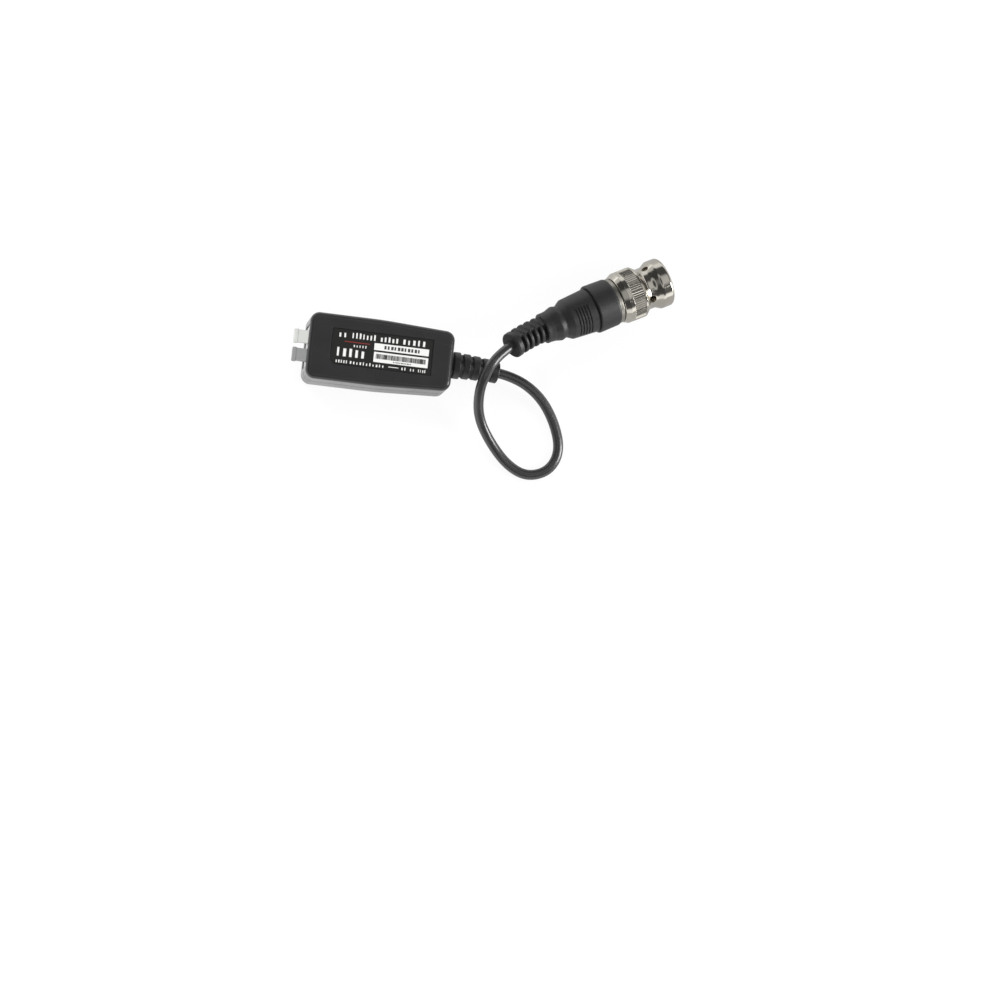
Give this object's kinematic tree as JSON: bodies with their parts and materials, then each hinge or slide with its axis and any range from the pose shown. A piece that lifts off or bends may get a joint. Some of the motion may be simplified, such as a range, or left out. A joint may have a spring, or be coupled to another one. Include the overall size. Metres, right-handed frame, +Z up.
{
  "type": "passive video balun",
  "caption": "Small boxed video balun with push-lever wire terminals and a short looped coaxial cable that ends in a moulded bayonet plug.",
  "frame": {"origin": "centre of the case's flat underside", "axes": "+X along the case, from the lever end to the cable end, +Z up out of the label, +Y to the left when looking along +X"},
  "size_m": [0.104, 0.0649, 0.0166],
  "materials": {
    "case_plastic": "moulded, glossy black",
    "label_film": "satin black film with pale printed fields",
    "board_laminate": "glass-epoxy board with solder mask",
    "terminal_plastic": "moulded light grey",
    "lever_white": "moulded off-white",
    "lever_grey": "moulded grey",
    "spring_steel": "stainless spring strip",
    "tinned_brass": "tin plated brass",
    "ferrite": "coated ferrite",
    "enamelled_copper": "enamelled copper wire",
    "component_black": "moulded epoxy",
    "component_tan": "ceramic",
    "soft_pvc": "satin black flexible vinyl",
    "cable_jacket": "satin black vinyl jacket",
    "foam_dielectric": "natural polyethylene",
    "copper": "bare copper",
    "braid_copper": "tinned copper strands",
    "nickel_plate": "nickel plated, polished",
    "nickel_dull": "nickel plated, satin",
    "acetal": "natural white",
    "gold_plate": "gold plated",
    "seal_rubber": "dark red silicone rubber"
  },
  "bodies": {
    "housing": {"case_bottom": "case_plastic", "case_top": "case_plastic", "label": "label_film", "circuit_board": "board_laminate", "terminal_block": "terminal_plastic", "clamp_spring_white": "spring_steel", "clamp_spring_grey": "spring_steel", "contact_white": "tinned_brass", "contact_grey": "tinned_brass", "ferrite_core": "ferrite", "camera_winding": "enamelled_copper", "line_winding": "enamelled_copper", "surge_diode": "component_black", "chip_capacitors": "component_tan", "chip_resistors": "component_black", "case_grommet": "soft_pvc", "coax_cable": "cable_jacket", "cable_dielectric": "foam_dielectric", "cable_conductor": "copper", "cable_braid": "braid_copper", "plug_boot": "soft_pvc", "crimp_ferrule": "nickel_dull", "rear_collar": "nickel_dull", "plug_body": "nickel_plate", "plug_insulator": "acetal", "centre_pin": "gold_plate", "gasket": "seal_rubber", "wave_washer": "spring_steel"},
    "white_lever": {"lever_white": "lever_white"},
    "grey_lever": {"lever_grey": "lever_grey"},
    "nut_washer": {"thrust_washer": "tinned_brass"},
    "nut": {"coupling_nut": "nickel_plate"}
  },
  "joints": [
    {"name": "white_lever_press", "type": "hinge", "parent": "housing", "child": "white_lever", "pos_m": [-0.0126, 0.00254, 0.008], "axis": [0, -1, 0], "range_deg": [0, 11], "stiffness_Nm_per_rad": 0.3, "springref_deg": -2.86, "deforming": ["clamp_spring_white"]},
    {"name": "grey_lever_press", "type": "hinge", "parent": "housing", "child": "grey_lever", "pos_m": [-0.0126, -0.00254, 0.008], "axis": [0, -1, 0], "range_deg": [0, 11], "stiffness_Nm_per_rad": 0.3, "springref_deg": -2.86, "deforming": ["clamp_spring_grey"]},
    {"name": "nut_pull", "type": "slide", "parent": "housing", "child": "nut_washer", "axis": [0.8707, 0.4806, -0.1045], "range_m": [0, 0.00065], "stiffness_N_per_m": 1500, "springref_m": -0.0003, "deforming": ["wave_washer"]},
    {"name": "nut_turn", "type": "hinge", "parent": "nut_washer", "child": "nut", "pos_m": [0.07023, 0.02685, 0.00762], "axis": [0.8707, 0.4806, -0.1045], "continuous": true}
  ]
}
